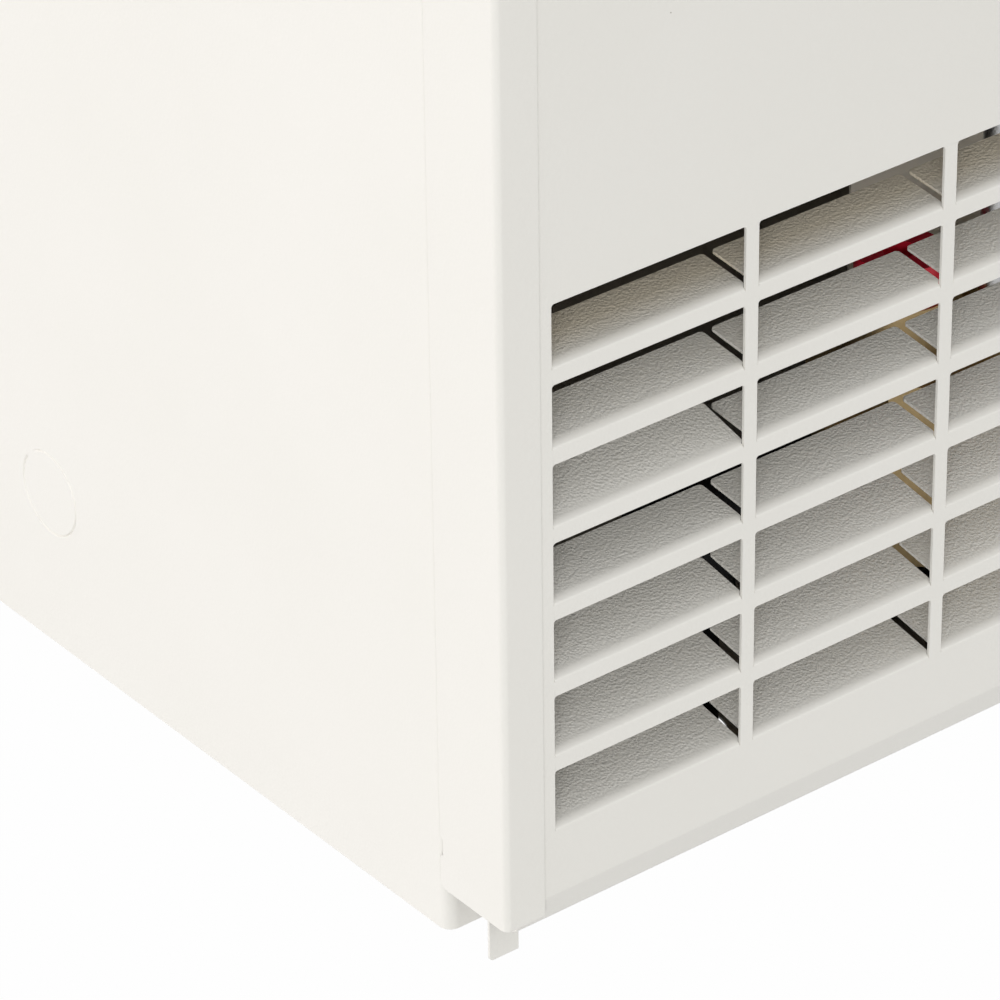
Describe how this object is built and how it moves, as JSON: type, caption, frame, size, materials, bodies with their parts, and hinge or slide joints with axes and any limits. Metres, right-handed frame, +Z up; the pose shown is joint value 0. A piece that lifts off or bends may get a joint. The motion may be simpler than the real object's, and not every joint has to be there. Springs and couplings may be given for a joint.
{
  "type": "gas wall heater",
  "caption": "Direct-vent gas wall heater: flat sheet-steel cabinet with a louvred front cover, warm-air slots and a knob on top, concentric flue collars behind.",
  "frame": {"origin": "where the flue axis meets the wall, on the rear face of the back panel; also the middle of the wall-hole pattern", "axes": "+X to the right seen from the room, +Y into the wall along the flue, +Z up"},
  "size_m": [0.492, 0.2652, 0.6824],
  "materials": {
    "cream_paint": "fine orange-peel powder coat, satin",
    "galvanised_steel": "zinc-coated, dull",
    "aluminised_steel": "matt rolled",
    "fibre_gasket": "pressed fibre",
    "bright_steel": "zinc-plated",
    "heat_glass": "clear",
    "brass": "machined",
    "ceramic": "glazed white",
    "copper": "drawn copper",
    "die_cast": "die-cast, yellowish passivated",
    "red_plastic": "moulded",
    "black_iron": "black pipe",
    "bright_aluminium": "drawn tube",
    "lead_rubber": "silicone sleeve",
    "black_plastic": "moulded, fine grain"
  },
  "bodies": {
    "heater": {"back_panel": "galvanised_steel", "side_panel_left": "cream_paint", "side_panel_right": "cream_paint", "top_panel": "cream_paint", "base_panel": "cream_paint", "front_panel": "cream_paint", "cover_channel_left": "cream_paint", "cover_channel_right": "cream_paint", "cover_channel_top": "cream_paint", "cover_tabs": "cream_paint", "cover_hooks": "galvanised_steel", "chamber_pan": "aluminised_steel", "chamber_back_plate": "aluminised_steel", "chamber_brackets": "galvanised_steel", "exhaust_collar": "aluminised_steel", "air_collar": "aluminised_steel", "air_flange": "aluminised_steel", "air_box": "aluminised_steel", "air_box_gasket": "fibre_gasket", "access_plate": "aluminised_steel", "access_gasket": "fibre_gasket", "access_screws": "bright_steel", "sight_glass": "heat_glass", "sight_frame": "bright_steel", "burner_tube": "aluminised_steel", "burner_brackets": "aluminised_steel", "orifice_elbow": "brass", "pilot_burner": "brass", "spark_electrode": "ceramic", "thermocouple": "copper", "gas_valve": "die_cast", "regulator_cap": "red_plastic", "valve_bracket": "galvanised_steel", "gas_inlet_pipe": "black_iron", "valve_shield": "aluminised_steel", "manifold_tube": "bright_aluminium", "pilot_tube": "bright_aluminium", "thermocouple_lead": "copper", "union_nuts": "brass", "ignition_lead": "lead_rubber", "knob_bezel": "black_plastic", "igniter_body": "black_plastic"},
    "dial": {"dial": "black_plastic"},
    "knob": {"control_knob": "black_plastic", "control_rod": "bright_steel", "rod_coupling": "bright_steel", "valve_stem": "brass"},
    "igniter_button": {"igniter_button": "red_plastic"}
  },
  "joints": [
    {"name": "dial_turn", "type": "hinge", "parent": "heater", "child": "dial", "pos_m": [-0.032, -0.1679, 0.202], "axis": [0, 0, 1], "range_deg": [0, 270]},
    {"name": "knob_push", "type": "slide", "parent": "dial", "child": "knob", "axis": [0, 0, -1], "range_m": [0, 0.006], "stiffness_N_per_m": 600, "springref_m": -0.015},
    {"name": "igniter_push", "type": "slide", "parent": "heater", "child": "igniter_button", "axis": [0, 0, -1], "range_m": [0, 0.005], "stiffness_N_per_m": 800, "springref_m": -0.006}
  ]
}
